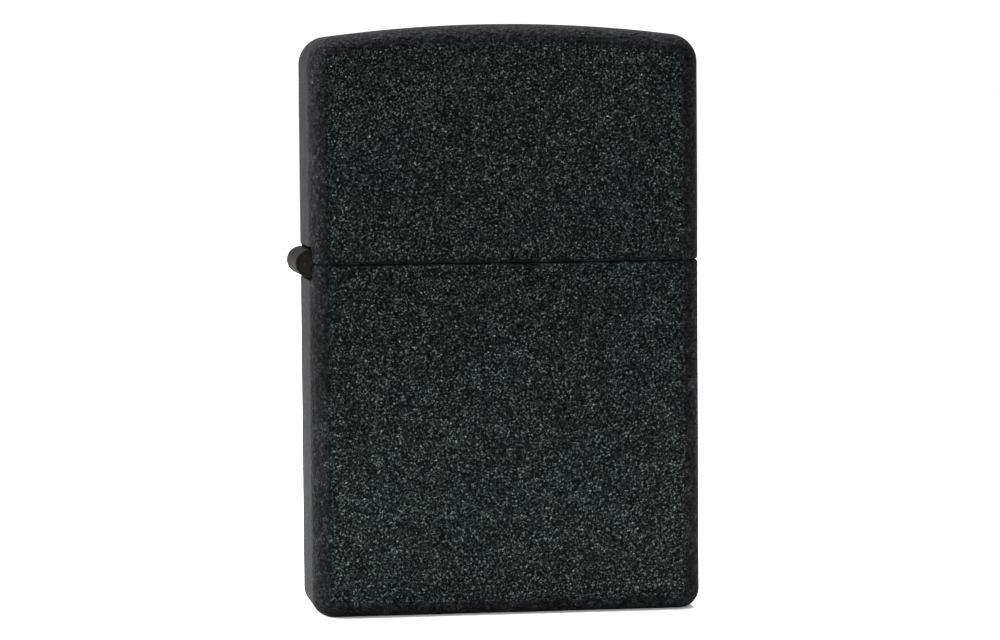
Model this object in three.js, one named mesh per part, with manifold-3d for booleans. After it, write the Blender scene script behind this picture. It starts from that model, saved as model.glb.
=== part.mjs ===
// Windproof flip-top pocket lighter, closed. Millimetres, +Z up, front face towards -Y, hinge at -X.
// The outer case is a drawn cup with a drawn lid on a five-knuckle hinge. Inside it stands the insert:
// a fuel chamber stuffed with rayon balls and a felt pad, a pierced chimney round the wick, a flint
// wheel over a sprung flint, and a rocking cam on a leaf spring that snaps the lid open and shut.
import * as THREE from "three";
import { mergeVertices } from "three/addons/utils/BufferGeometryUtils.js";
import Module from "manifold-3d";

const wasm = await Module();
wasm.setup();

// Driving dimensions

const CASE = { width: 38.1, depth: 12.7, height: 57.15, wall: 0.7, cornerRadius: 2.35 };
CASE.seam = 34.2; // height of the parting line between cup and lid
CASE.seamGap = 0.1;
CASE.bottomRadius = 1.9;
CASE.topRadius = 2.35;
CASE.archRise = 1.4; // how far the lid's top falls from its crown to its ends
CASE.panelRecess = 0.3; // the stamped panel in the base

const HINGE = { x: -19, z: 34.25, radius: 1.35, pin: 0.79, bore: 0.85, length: 9.6, leaf: 0.5 };
HINGE.reach = 6.8; // how far each leaf runs from the pin
HINGE.leafHalf = 4.4; // half the width of each leaf
HINGE.leafClear = 0.15; // gap between a leaf and the other leaf's knuckles
HINGE.knuckles = 5;
HINGE.knuckleGap = 0.12;
HINGE.notchReach = 1.7; // half the height of the window in the walls round the barrel
HINGE.notchHalf = 5.05; // half the width of that window

const INSERT = { left: -17.45, right: 18.1, halfDepth: 5.5, wall: 0.45, bottom: 1.6, top: 36.4 };
INSERT.cornerRadius = 1.5;
INSERT.shoulder = 1; // radius of the rolled edge round the top plate
INSERT.slotHalf = 2.4; // half the width of the slot that the cam's nose works through
INSERT.slotBottom = 33.6;
INSERT.slotRight = -11.3;

const CHIMNEY = { left: -10.4, right: 5.4, halfDepth: 4.1, wall: 0.45, top: 54, foot: 36.5 };
CHIMNEY.holeRadius = 1.1;
CHIMNEY.holePitch = 4.4;
CHIMNEY.holeRows = [41.4, 45.2, 49]; // three, two and three holes on each side

const WICK = { x: -2.5, radius: 1.25, top: 49.5 };
const WHEEL = { x: 9.6, z: 45.2, radius: 3.7, halfWidth: 3.2, teeth: 30, toothDepth: 0.3 };
WHEEL.bore = 1.05;
WHEEL.rivet = 1;
WHEEL.head = 1.6; // radius of its rivet's head
const FLINT = { x: 9.4, radius: 1.2, top: 41.35, length: 5 };
const TUBE = { outer: 1.9, inner: 1.4, bottom: 3.5, top: 39.8, flange: 2.7 };
const SCREW = { head: 2.3, headBottom: 2.2, headTop: 3.3, threadTop: 7.2, thread: 1.3, pitch: 0.7 };
SCREW.slotWidth = 0.6;
SCREW.slotDepth = 0.55;
const CAM = { x: -13.2, z: 38.75, halfWidth: 2.1, hub: 1.95, rivet: 0.9, bore: 0.96 };
CAM.swing = 26; // degrees that it rocks as the lid opens
CAM.head = 1.35; // radius of its rivet's head
CAM.flat = 2.05; // distance from the pivot to each flat
CAM.flatLength = 1.1; // how far each flat runs, from below the pivot or from the corner
CAM.noseLength = 5.22;
CAM.noseRadius = 0.55;
CAM.noseAngle = 230.9; // direction of the nose with the lid shut, in degrees from +X towards +Z
const EAR = { camIn: 2.45, camOut: 2.9, wheelIn: 3.65 };

const CORNER_STEPS = 6; // facets in a quarter-round corner
const SIDE_STEPS = 10; // facets along a long side, which follow the arch of the lid
const CLEAR = 0.12; // gap left between pieces that touch
const GRIP = 0.06; // gap under each rivet's head and round its shank
const DEG = Math.PI / 180;

// Colours

const finish = (color, roughness, metalness) =>
  new THREE.MeshStandardMaterial({ color, roughness, metalness });
const BLACK_CRACKLE = finish(0x26292a, 0.75, 0);
const BRUSHED_STEEL = finish(0xb9bbbd, 0.35, 1);
const DARK_STEEL = finish(0x6d6e70, 0.45, 1);
const BRASS = finish(0xc39b52, 0.35, 1);
const FIBRE = finish(0xe6e1d4, 0.95, 0);
const FELT = finish(0xd9d6cf, 1, 0);
const FERROCERIUM = finish(0x55524e, 0.6, 0.6);

// Solids

const solidOf = (geometry) => {
  const bare = geometry.clone();
  bare.deleteAttribute("normal");
  bare.deleteAttribute("uv");
  const merged = mergeVertices(bare, 1e-4);
  return new wasm.Manifold(
    new wasm.Mesh({
      numProp: 3,
      vertProperties: merged.attributes.position.array,
      triVerts: new Uint32Array(merged.index.array),
    }),
  );
};

const geometryOf = (solid) => {
  const mesh = solid.getMesh();
  return new THREE.BufferGeometry()
    .setAttribute("position", new THREE.BufferAttribute(new Float32Array(mesh.vertProperties), 3))
    .setIndex(new THREE.BufferAttribute(new Uint32Array(mesh.triVerts), 1));
};

const join = (...geometries) => geometryOf(geometries.map(solidOf).reduce((a, b) => a.add(b)));
const cut = (geometry, ...tools) =>
  geometryOf(tools.map(solidOf).reduce((a, b) => a.subtract(b), solidOf(geometry)));

const box = (x0, x1, y0, y1, z0, z1) =>
  new THREE.BoxGeometry(x1 - x0, y1 - y0, z1 - z0)
    .translate((x0 + x1) / 2, (y0 + y1) / 2, (z0 + z1) / 2);

// Round bars along each axis, between two stations on it.
const barX = (radius, x0, x1, y, z, sides = 20) =>
  new THREE.CylinderGeometry(radius, radius, x1 - x0, sides)
    .rotateZ(Math.PI / 2)
    .translate((x0 + x1) / 2, y, z);
const barY = (radius, y0, y1, x, z, sides = 20) =>
  new THREE.CylinderGeometry(radius, radius, y1 - y0, sides).translate(x, (y0 + y1) / 2, z);
const barZ = (radius, z0, z1, x, y, sides = 20) =>
  new THREE.CylinderGeometry(radius, radius, z1 - z0, sides)
    .rotateX(Math.PI / 2)
    .translate(x, y, (z0 + z1) / 2);

// A turned piece on a vertical axis. The profile lists [radius, height].
const turned = (profile, x, y, sides = 20) =>
  new THREE.LatheGeometry(profile.map(([r, z]) => new THREE.Vector2(r, z)), sides)
    .rotateX(Math.PI / 2)
    .translate(x, y, 0);

// A plate drawn in the front view, with shape coordinates (x, z), between two depths.
const plateY = (shape, y0, y1, curveSegments = 8) =>
  new THREE.ExtrudeGeometry(shape, { depth: y1 - y0, bevelEnabled: false, curveSegments })
    .rotateX(Math.PI / 2)
    .translate(0, y1, 0);

// A plate drawn in plan, with shape coordinates (x, y), between two heights.
const plateZ = (shape, z0, z1, curveSegments = 8) =>
  new THREE.ExtrudeGeometry(shape, { depth: z1 - z0, bevelEnabled: false, curveSegments })
    .translate(0, 0, z0);

const polygon = (points) => new THREE.Shape(points.map(([a, b]) => new THREE.Vector2(a, b)));

// One rounded-rectangle ring of points. Points k and n-1-k mirror each other in y, so that a cap is a
// strip between them.
const ring = ({ halfX, halfY, radius, centreX = 0 }, heightAt) => {
  const r = Math.max(radius, 0.05);
  const half = [];
  const push = (x, y) => half.push([x, y]);
  for (const [side, from] of [[1, 0], [-1, 90]]) {
    for (let i = 0; i <= CORNER_STEPS; i++) {
      const a = (from + (90 * i) / CORNER_STEPS) * DEG;
      push(side * (halfX - r) + r * Math.cos(a), halfY - r + r * Math.sin(a));
    }
    if (side > 0)
      for (let i = 1; i < SIDE_STEPS; i++) push((halfX - r) * (1 - (2 * i) / SIDE_STEPS), halfY);
  }
  const whole = [...half, ...half.toReversed().map(([x, y]) => [x, -y])];
  return whole.map(([x, y]) => new THREE.Vector3(x + centreX, y, heightAt(x)));
};

// A closed skin through rings, with a cap at each end. A cup's rings run up its outside and down its
// inside, and a cap's run the other way.
const loft = (rings) => {
  const n = rings[0].length;
  const index = [];
  const quad = (a, b, c, d) => index.push(a, b, c, a, c, d);
  rings.slice(1).forEach((_, i) => {
    for (let k = 0; k < n; k++) {
      const next = (k + 1) % n;
      quad(i * n + k, i * n + next, (i + 1) * n + next, (i + 1) * n + k);
    }
  });
  const end = (rings.length - 1) * n;
  for (let k = 0; k < n / 2 - 1; k++) {
    quad(k + 1, k, n - 1 - k, n - 2 - k);
    quad(end + k, end + k + 1, end + n - 2 - k, end + n - 1 - k);
  }
  return new THREE.BufferGeometry().setFromPoints(rings.flat()).setIndex(index);
};

// The stations of a quarter-round edge: [inset from the wall, drop from the flat].
const quarter = (radius, steps = 6) =>
  Array.from({ length: steps + 1 }, (_, i) => {
    const a = (90 * i * DEG) / steps;
    return [radius * (1 - Math.sin(a)), radius * (1 - Math.cos(a))];
  });

// Outer case

const caseOutline = (inset) => ({
  halfX: CASE.width / 2 - inset,
  halfY: CASE.depth / 2 - inset,
  radius: CASE.cornerRadius - inset,
});
const level = (z) => () => z;

const hingeWindow = box(
  -CASE.width / 2 - 1,
  -CASE.width / 2 + CASE.wall + 0.6,
  -HINGE.notchHalf,
  HINGE.notchHalf,
  HINGE.z - HINGE.notchReach,
  HINGE.z + HINGE.notchReach,
);

function caseBottom() {
  const rim = CASE.seam - CASE.seamGap / 2;
  const innerRadius = CASE.bottomRadius - CASE.wall;
  const step = 0.45; // width of the sloped wall round the stamped panel
  const footWidth = 1.2;
  const foot = CASE.bottomRadius + footWidth;
  const rings = [ring(caseOutline(foot + step), level(CASE.panelRecess)), ring(caseOutline(foot), level(0))];
  for (const [inset, drop] of quarter(CASE.bottomRadius)) rings.push(ring(caseOutline(inset), level(drop)));
  rings.push(ring(caseOutline(0), level(rim)), ring(caseOutline(CASE.wall), level(rim)));
  for (const [inset, drop] of quarter(innerRadius, 4).toReversed())
    rings.push(ring(caseOutline(CASE.wall + inset), level(CASE.wall + drop)));
  rings.push(
    ring(caseOutline(foot), level(CASE.wall)),
    ring(caseOutline(foot + step), level(CASE.wall + CASE.panelRecess)),
  );
  return cut(loft(rings), hingeWindow);
}

function lid() {
  const rim = CASE.seam + CASE.seamGap / 2;
  const innerRadius = CASE.topRadius - CASE.wall;
  const halfX = CASE.width / 2;
  const arch = (x) => CASE.height - CASE.archRise * (x / halfX) ** 2;
  const rings = [];
  for (const [inset, drop] of quarter(innerRadius, 4).toReversed())
    rings.unshift(ring(caseOutline(CASE.wall + inset), (x) => arch(x) - CASE.wall - drop));
  rings.push(ring(caseOutline(CASE.wall), level(rim)), ring(caseOutline(0), level(rim)));
  for (const [inset, drop] of quarter(CASE.topRadius).toReversed())
    rings.push(ring(caseOutline(inset), (x) => arch(x) - drop));
  return cut(loft(rings), hingeWindow);
}

// Hinge: knuckles 0, 2 and 4 belong to the case and 1 and 3 to the lid.

const knucklePitch = HINGE.length / HINGE.knuckles;
const knuckleSpan = (i) => [
  -HINGE.length / 2 + i * knucklePitch + HINGE.knuckleGap / 2,
  -HINGE.length / 2 + (i + 1) * knucklePitch - HINGE.knuckleGap / 2,
];
const knuckleIndices = (first) =>
  Array.from({ length: HINGE.knuckles }, (_, i) => i).filter((i) => i % 2 === first);

function hingeLeaf(first, up) {
  const inner = HINGE.x + HINGE.radius;
  const far = HINGE.z + up * HINGE.reach;
  const clear = HINGE.z + up * (HINGE.radius + HINGE.leafClear);
  const plate = box(
    inner - HINGE.leaf,
    inner,
    -HINGE.leafHalf,
    HINGE.leafHalf,
    Math.min(clear, far),
    Math.max(clear, far),
  );
  const root = clear + up * 0.2; // each tongue runs a little into the leaf
  const knuckles = knuckleIndices(first).flatMap((i) => {
    const [y0, y1] = knuckleSpan(i);
    const tongue = box(
      inner - HINGE.leaf,
      inner,
      Math.max(y0, -HINGE.leafHalf),
      Math.min(y1, HINGE.leafHalf),
      Math.min(HINGE.z, root),
      Math.max(HINGE.z, root),
    );
    return [barY(HINGE.radius, y0, y1, HINGE.x, HINGE.z, 24), tongue];
  });
  const bore = barY(HINGE.bore, -HINGE.length, HINGE.length, HINGE.x, HINGE.z, 20);
  return cut(join(plate, ...knuckles), bore);
}

const hingePin = () =>
  barY(HINGE.pin, -HINGE.length / 2 + CLEAR, HINGE.length / 2 - CLEAR, HINGE.x, HINGE.z, 20);

// Insert

const insertCentre = (INSERT.left + INSERT.right) / 2;
const insertOutline = (inset) => ({
  halfX: (INSERT.right - INSERT.left) / 2 - inset,
  halfY: INSERT.halfDepth - inset,
  radius: INSERT.cornerRadius - inset,
  centreX: insertCentre,
});

function fuelChamber() {
  const wall = INSERT.wall;
  const rings = [];
  for (const [inset, drop] of quarter(INSERT.shoulder - wall, 3).toReversed())
    rings.unshift(ring(insertOutline(wall + inset), level(INSERT.top - wall - drop)));
  rings.push(ring(insertOutline(wall), level(INSERT.bottom)), ring(insertOutline(0), level(INSERT.bottom)));
  for (const [inset, drop] of quarter(INSERT.shoulder, 5).toReversed())
    rings.push(ring(insertOutline(inset), level(INSERT.top - drop)));
  const slot = INSERT.slotHalf;
  return cut(
    loft(rings),
    box(INSERT.left - 1, INSERT.left + 1.6, -slot, slot, INSERT.slotBottom, INSERT.top + 1),
    box(INSERT.left + 1, INSERT.slotRight, -slot, slot, INSERT.top - 2, INSERT.top + 1),
    barZ(WICK.radius + 0.3, INSERT.top - 2, INSERT.top + 1, WICK.x, 0),
    barZ(TUBE.outer + CLEAR, INSERT.top - 2, INSERT.top + 1, FLINT.x, 0),
    barX(0.9 + CLEAR, INSERT.left - 1, INSERT.left + 1.6, 0, camSpringRivetZ),
  );
}

const stadium = (inset) => {
  const r = CHIMNEY.halfDepth - inset;
  const x0 = CHIMNEY.left + CHIMNEY.halfDepth;
  const x1 = CHIMNEY.right - CHIMNEY.halfDepth;
  const shape = new THREE.Shape();
  shape.absarc(x1, 0, r, -Math.PI / 2, Math.PI / 2, false);
  shape.absarc(x0, 0, r, Math.PI / 2, (3 * Math.PI) / 2, false);
  shape.closePath();
  return shape;
};

function chimney() {
  const wheelEar = new THREE.Shape();
  wheelEar.moveTo(CHIMNEY.right - CHIMNEY.halfDepth - 1, CHIMNEY.foot);
  wheelEar.lineTo(WHEEL.x + 1.6, CHIMNEY.foot);
  wheelEar.lineTo(WHEEL.x + 2.2, WHEEL.z - 1);
  wheelEar.absarc(WHEEL.x, WHEEL.z, 2.4, -25 * DEG, 110 * DEG, false);
  wheelEar.lineTo(CHIMNEY.right - 0.4, WHEEL.z + 3.6);
  wheelEar.lineTo(CHIMNEY.right - CHIMNEY.halfDepth - 1, WHEEL.z + 5);
  const camEar = new THREE.Shape();
  camEar.moveTo(CHIMNEY.left + 1.6, CHIMNEY.foot);
  camEar.lineTo(CHIMNEY.left + 1.6, CAM.z + 3.4);
  camEar.lineTo(CAM.x + 0.9, CAM.z + 1.75);
  camEar.absarc(CAM.x, CAM.z, 1.85, 70 * DEG, 200 * DEG, false);
  camEar.lineTo(CAM.x - 1.1, CHIMNEY.foot);
  const ears = [-1, 1].flatMap((side) => {
    const plate = (shape, a, b) => plateY(shape, Math.min(side * a, side * b), Math.max(side * a, side * b));
    return [plate(wheelEar, EAR.wheelIn, CHIMNEY.halfDepth), plate(camEar, EAR.camIn, EAR.camOut)];
  });
  const skin = plateZ(stadium(0), CHIMNEY.foot, CHIMNEY.top);
  const inside = plateZ(stadium(CHIMNEY.wall), CHIMNEY.foot - 1, CHIMNEY.top + 1);
  const mid = (CHIMNEY.left + CHIMNEY.right) / 2;
  const holes = CHIMNEY.holeRows.flatMap((z, row) => {
    const offsets = row === 1 ? [-0.5, 0.5] : [-1, 0, 1];
    return offsets.map((k) => barY(CHIMNEY.holeRadius, -6, 6, mid + k * CHIMNEY.holePitch, z, 16));
  });
  const sparkWindow = box(
    CHIMNEY.right - 2.2,
    CHIMNEY.right + 1,
    -EAR.wheelIn,
    EAR.wheelIn,
    CHIMNEY.foot - 1,
    WHEEL.z + 3.4,
  );
  const rivetHoles = [
    barY(WHEEL.rivet + GRIP, -6, 6, WHEEL.x, WHEEL.z),
    barY(CAM.rivet + GRIP, -6, 6, CAM.x, CAM.z),
  ];
  return cut(join(skin, ...ears), inside, sparkWindow, ...holes, ...rivetHoles);
}

// A shank with a low domed head at each end, lying along Y.
function rivet(shank, head, halfGrip, x, z) {
  const headHeight = 0.45;
  const profile = [
    [0, -halfGrip - headHeight],
    [head * 0.6, -halfGrip - headHeight],
    [head, -halfGrip - headHeight * 0.4],
    [head, -halfGrip],
    [shank, -halfGrip],
  ];
  const whole = [...profile, ...profile.toReversed().map(([r, y]) => [r, -y])];
  return new THREE.LatheGeometry(whole.map(([r, y]) => new THREE.Vector2(r, y)), 20).translate(x, 0, z);
}

// Cam: a hub, two flats that the spring holds in turn, and a nose that works on the lid's knuckles.
function cam() {
  const turn = CAM.swing * DEG;
  const nose = CAM.noseAngle * DEG;
  const at = (r, a) => [CAM.x + r * Math.cos(a), CAM.z + r * Math.sin(a)];
  const tip = at(CAM.noseLength, nose);
  const shape = new THREE.Shape();
  // Each flat lies CAM.flat below the pivot when it faces the spring, so their corner is on both lines.
  const cornerX = CAM.x + CAM.flat * Math.tan(turn / 2);
  shape.moveTo(CAM.x - CAM.flatLength, CAM.z - CAM.flat);
  shape.lineTo(cornerX, CAM.z - CAM.flat);
  shape.lineTo(
    cornerX + CAM.flatLength * Math.cos(turn),
    CAM.z - CAM.flat + CAM.flatLength * Math.sin(turn),
  );
  shape.absarc(CAM.x, CAM.z, CAM.hub, -30 * DEG, 150 * DEG, false);
  shape.absarc(tip[0], tip[1], CAM.noseRadius, nose - 80 * DEG, nose + 75 * DEG, false);
  return cut(plateY(shape, -CAM.halfWidth, CAM.halfWidth), barY(CAM.bore, -4, 4, CAM.x, CAM.z));
}

const camSpringRivetZ = 25;
const camSpringPlane = INSERT.left + INSERT.wall + CLEAR; // the spring's back lies on the chamber's end wall

function camSpring() {
  const thickness = 0.35;
  const halfWidth = 1.7;
  const top = CAM.z - CAM.flat - CLEAR - thickness / 2;
  const line = new THREE.CatmullRomCurve3(
    [
      [camSpringPlane + thickness / 2, 22.5],
      [camSpringPlane + thickness / 2, 27],
      [camSpringPlane + thickness / 2, 30.6],
      [CAM.x - 2.75, 33],
      [CAM.x - 1.35, 35.35],
      [CAM.x - 0.5, top - 0.05],
      [CAM.x + 0.3, top],
      [CAM.x + 1.3, top - 0.4],
    ].map(([x, z]) => new THREE.Vector3(x, z, 0)),
    false,
    "centripetal",
  );
  const steps = 26;
  const sides = [1, -1].map((side) =>
    Array.from({ length: steps + 1 }, (_, i) => {
      const p = line.getPointAt(i / steps);
      const t = line.getTangentAt(i / steps);
      return [p.x - (side * t.y * thickness) / 2, p.y + (side * t.x * thickness) / 2];
    }),
  );
  const strip = plateY(polygon([...sides[1], ...sides[0].toReversed()]), -halfWidth, halfWidth);
  return cut(strip, barX(0.72, INSERT.left - 1, camSpringPlane + 2, 0, camSpringRivetZ));
}

// A flush countersunk rivet through the chamber's end wall and the spring.
function camSpringRivet() {
  const outside = INSERT.left + 0.02;
  const inside = camSpringPlane + 0.35 + CLEAR;
  const profile = [
    [0, outside],
    [0.9, outside],
    [0.65, outside + INSERT.wall],
    [0.65, inside],
    [1.2, inside],
    [1, inside + 0.4],
    [0, inside + 0.5],
  ];
  return new THREE.LatheGeometry(profile.map(([r, x]) => new THREE.Vector2(r, x)), 16)
    .rotateZ(-Math.PI / 2)
    .translate(0, 0, camSpringRivetZ);
}

// Flint train, from the wheel down to the slotted screw in the base of the insert

function toothedDisc(radius, depth, y0, y1) {
  const points = [];
  for (let i = 0; i < WHEEL.teeth; i++) {
    const a = (2 * Math.PI * i) / WHEEL.teeth;
    const b = a + (1.3 * Math.PI) / WHEEL.teeth;
    points.push([WHEEL.x + radius * Math.cos(a), WHEEL.z + radius * Math.sin(a)]);
    points.push([WHEEL.x + (radius - depth) * Math.cos(b), WHEEL.z + (radius - depth) * Math.sin(b)]);
  }
  return plateY(polygon(points), y0, y1);
}

function flintWheel() {
  const cutting = 1.5; // half the width of the file-cut middle
  const groove = 0.35;
  return cut(
    join(
      barY(WHEEL.radius - 0.75, -WHEEL.halfWidth + 0.3, WHEEL.halfWidth - 0.3, WHEEL.x, WHEEL.z, 30),
      barY(2, -WHEEL.halfWidth, WHEEL.halfWidth, WHEEL.x, WHEEL.z, 24),
      toothedDisc(WHEEL.radius, WHEEL.toothDepth, -cutting, cutting),
      toothedDisc(WHEEL.radius, WHEEL.toothDepth, cutting + groove, WHEEL.halfWidth - 0.3),
      toothedDisc(WHEEL.radius, WHEEL.toothDepth, -WHEEL.halfWidth + 0.3, -cutting - groove),
    ),
    barY(WHEEL.bore, -6, 6, WHEEL.x, WHEEL.z),
  );
}

const flint = () => barZ(FLINT.radius, FLINT.top - FLINT.length, FLINT.top, FLINT.x, 0);
const flintBottom = FLINT.top - FLINT.length;

function flintTube() {
  const seat = INSERT.top + CLEAR; // the flange is rolled down on the chamber's top
  return turned(
    [
      [TUBE.inner, TUBE.bottom],
      [TUBE.outer, TUBE.bottom],
      [TUBE.outer, seat],
      [TUBE.flange, seat],
      [TUBE.flange, seat + 0.3],
      [TUBE.outer, seat + 0.45],
      [TUBE.outer, TUBE.top],
      [TUBE.inner, TUBE.top],
      [TUBE.inner, TUBE.bottom],
    ],
    FLINT.x,
    0,
    24,
  );
}

const tipBottom = flintBottom - 1.4;

function springTip() {
  return turned(
    [
      [0, tipBottom - 1.8],
      [0.5, tipBottom - 1.8],
      [0.65, tipBottom],
      [1.2, tipBottom],
      [1.2, flintBottom - 0.35],
      [1, flintBottom - CLEAR],
      [0, flintBottom - CLEAR],
    ],
    FLINT.x,
    0,
    16,
  );
}

class Helix extends THREE.Curve {
  constructor(radius, z0, z1, turns) {
    super();
    Object.assign(this, { radius, z0, z1, turns });
  }

  getPoint(t, target = new THREE.Vector3()) {
    const a = 2 * Math.PI * this.turns * t;
    return target.set(
      FLINT.x + this.radius * Math.cos(a),
      this.radius * Math.sin(a),
      this.z0 + (this.z1 - this.z0) * t,
    );
  }
}

function flintSpring() {
  const wire = 0.2;
  const turns = 15;
  const section = new THREE.Shape().absarc(0, 0, wire, 0, 2 * Math.PI, false);
  const bottom = SCREW.threadTop + CLEAR + wire;
  const top = tipBottom - CLEAR - wire;
  return new THREE.ExtrudeGeometry(section, {
    extrudePath: new Helix(0.95, bottom, top, turns),
    steps: turns * 10,
    curveSegments: 3,
    bevelEnabled: false,
  });
}

function flintScrew() {
  const { head, headBottom, headTop, threadTop, thread } = SCREW;
  const chamfer = 0.3;
  const threadRoot = thread - 0.2;
  const profile = [
    [0, headBottom],
    [head - chamfer, headBottom],
    [head, headBottom + chamfer],
    [head, headTop - CLEAR],
    [threadRoot, headTop - CLEAR],
  ];
  for (let z = headTop + 0.2; z + SCREW.pitch <= threadTop; z += SCREW.pitch)
    profile.push(
      [threadRoot, z],
      [thread, z + SCREW.pitch * 0.35],
      [thread, z + SCREW.pitch * 0.55],
      [threadRoot, z + SCREW.pitch * 0.9],
    );
  profile.push([thread - chamfer, threadTop], [0, threadTop]);
  const slot = box(
    FLINT.x - head - 1,
    FLINT.x + head + 1,
    -SCREW.slotWidth / 2,
    SCREW.slotWidth / 2,
    headBottom - 1,
    headBottom + SCREW.slotDepth,
  );
  return cut(turned(profile, FLINT.x, 0), slot);
}

// Wick and packing

// The wick's line, from its tip in the chimney down through the packing between the rayon balls.
const wickLine = new THREE.CatmullRomCurve3(
  [
    [0, WICK.top],
    [0, 44],
    [0, 38.5],
    [0, 33.6],
    [-1.6, 30.4],
    [-2.6, 26.6],
    [-0.6, 23],
    [1.6, 19.4],
    [0.8, 15.4],
    [-1.6, 12],
    [-1.4, 8],
  ].map(([dx, z]) => new THREE.Vector3(WICK.x + dx, 0, z)),
  false,
  "centripetal",
);

function wick() {
  const section = new THREE.Shape().absarc(0, 0, WICK.radius, 0, 2 * Math.PI, false);
  return new THREE.ExtrudeGeometry(section, {
    extrudePath: wickLine,
    steps: 34,
    curveSegments: 5,
    bevelEnabled: false,
  });
}

// Rayon balls, pressed to fit: centre x and z, then half length and half height.
const BALL_HALF_DEPTH = 4.6;
const BALLS = [
  [-10.9, 29.6, 3.7, 3.4],
  [2.5, 28.4, 4.5, 6.2],
  [-10.6, 20.4, 5.4, 5.3],
  [3.9, 13.8, 3.2, 7.6],
  [-11.2, 10.3, 5.4, 4.4],
  [14.5, 20.4, 2.8, 14],
];

const rayonBall = ([x, z, halfLength, halfHeight]) =>
  new THREE.SphereGeometry(1, 16, 10)
    .rotateX(Math.PI / 2)
    .scale(halfLength, BALL_HALF_DEPTH, halfHeight)
    .translate(x, 0, z);

const PAD = { bottom: 3, top: 5.4, gap: 0.2 };

function feltPad() {
  const outline = insertOutline(INSERT.wall + PAD.gap);
  return cut(
    loft([ring(outline, level(PAD.bottom)), ring(outline, level(PAD.top))]),
    barZ(SCREW.head + 0.2, PAD.bottom - 1, PAD.top + 1, FLINT.x, 0),
  );
}

// Assembly. The origin is the middle of the whole footprint, with the barrel that stands proud at -X.

const lighter = new THREE.Group();
lighter.position.x = (-(HINGE.x - HINGE.radius) - CASE.width / 2) / 2;

const add = (name, geometry, material) => {
  const mesh = new THREE.Mesh(geometry, material);
  mesh.name = name;
  lighter.add(mesh);
};

add("case_bottom", caseBottom(), BLACK_CRACKLE);
add("lid", lid(), BLACK_CRACKLE);
add("hinge_leaf_case", hingeLeaf(0, -1), BLACK_CRACKLE);
add("hinge_leaf_lid", hingeLeaf(1, 1), BLACK_CRACKLE);
add("hinge_pin", hingePin(), DARK_STEEL);
add("fuel_chamber", fuelChamber(), BRUSHED_STEEL);
add("chimney", chimney(), BRUSHED_STEEL);
add("cam", cam(), DARK_STEEL);
add("cam_rivet", rivet(CAM.rivet, CAM.head, EAR.camOut + GRIP, CAM.x, CAM.z), BRUSHED_STEEL);
add("cam_spring", camSpring(), DARK_STEEL);
add("cam_spring_rivet", camSpringRivet(), BRUSHED_STEEL);
add("flint_wheel", flintWheel(), DARK_STEEL);
add(
  "wheel_rivet",
  rivet(WHEEL.rivet, WHEEL.head, CHIMNEY.halfDepth + GRIP, WHEEL.x, WHEEL.z),
  BRUSHED_STEEL,
);
add("flint", flint(), FERROCERIUM);
add("flint_tube", flintTube(), BRASS);
add("spring_tip", springTip(), BRASS);
add("flint_spring", flintSpring(), DARK_STEEL);
add("flint_screw", flintScrew(), BRASS);
add("wick", wick(), FIBRE);
BALLS.forEach((ball, i) => add(`rayon_ball_${i + 1}`, rayonBall(ball), FIBRE));
add("felt_pad", feltPad(), FELT);

export default lighter;
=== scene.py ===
"""Windproof flip-top petrol lighter, with the finished shapes and surfaces of its pieces.

Lengths in the builders are millimetres, with x counted from the middle of the case.
Mesh data is in metres in the row frame.
"""

import math
import random

import bmesh
import bpy
from mathutils import Matrix, Vector, noise


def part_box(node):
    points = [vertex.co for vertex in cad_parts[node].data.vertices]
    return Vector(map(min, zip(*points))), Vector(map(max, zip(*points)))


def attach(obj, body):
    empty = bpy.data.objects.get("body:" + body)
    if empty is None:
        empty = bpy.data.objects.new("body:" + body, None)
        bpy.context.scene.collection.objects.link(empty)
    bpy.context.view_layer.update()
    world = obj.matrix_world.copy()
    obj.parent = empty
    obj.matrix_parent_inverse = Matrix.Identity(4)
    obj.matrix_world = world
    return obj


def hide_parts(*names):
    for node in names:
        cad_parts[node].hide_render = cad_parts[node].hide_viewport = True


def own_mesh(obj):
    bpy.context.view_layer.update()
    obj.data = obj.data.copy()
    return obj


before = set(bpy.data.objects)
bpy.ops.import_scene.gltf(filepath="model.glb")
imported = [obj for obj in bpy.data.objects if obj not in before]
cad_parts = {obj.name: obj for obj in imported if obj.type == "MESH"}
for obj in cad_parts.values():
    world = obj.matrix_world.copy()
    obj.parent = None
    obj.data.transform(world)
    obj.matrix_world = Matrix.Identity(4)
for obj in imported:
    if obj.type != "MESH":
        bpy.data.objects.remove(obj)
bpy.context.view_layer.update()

MM = 0.001
TAU = 2 * math.pi
random.seed(7)

# Dimensions, from the frame's own boxes


def span(node):
    """A CAD node's box in millimetres, with x counted from the middle of the case."""
    low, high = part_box(node)
    return (
        Vector((low.x - CENTRE, low.y, low.z)) / MM,
        Vector((high.x - CENTRE, high.y, high.z)) / MM,
    )


CENTRE = sum(corner.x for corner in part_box("case_bottom")) / 2
cup_high = span("case_bottom")[1]
lid_low, lid_high = span("lid")
pin_low, pin_high = span("hinge_pin")
leaf_low = span("hinge_leaf_case")[0]
wheel_low, wheel_high = span("flint_wheel")

HALF_W, HALF_D, TOP = cup_high.x, cup_high.y, lid_high.z
WALL = 0.7
CORNER = 2.35  # of the case, seen from above
FOOT_RADIUS = 1.9  # of the edge round the underside
CROWN_RADIUS = 2.35  # of the edge round the lid's top
ARCH = 1.4  # how far the lid's top falls at each side
PANEL = 0.3  # depth of the panel stamped in the underside
HINGE_X, HINGE_Z = (pin_low.x + pin_high.x) / 2, (pin_low.z + pin_high.z) / 2
HINGE_R = HINGE_X - leaf_low.x
LEAF = 0.5  # thickness of the hinge's sheet
LEAF_HALF = 4.4  # half the length of the leaves' flat plates
WINDOW_REACH, WINDOW_HALF = 1.62, 5.03  # half height and half length of the cut for the barrel

# Mesh tools

SHARP = 40  # degrees by which an edge has to turn to be shaded sharp


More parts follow.
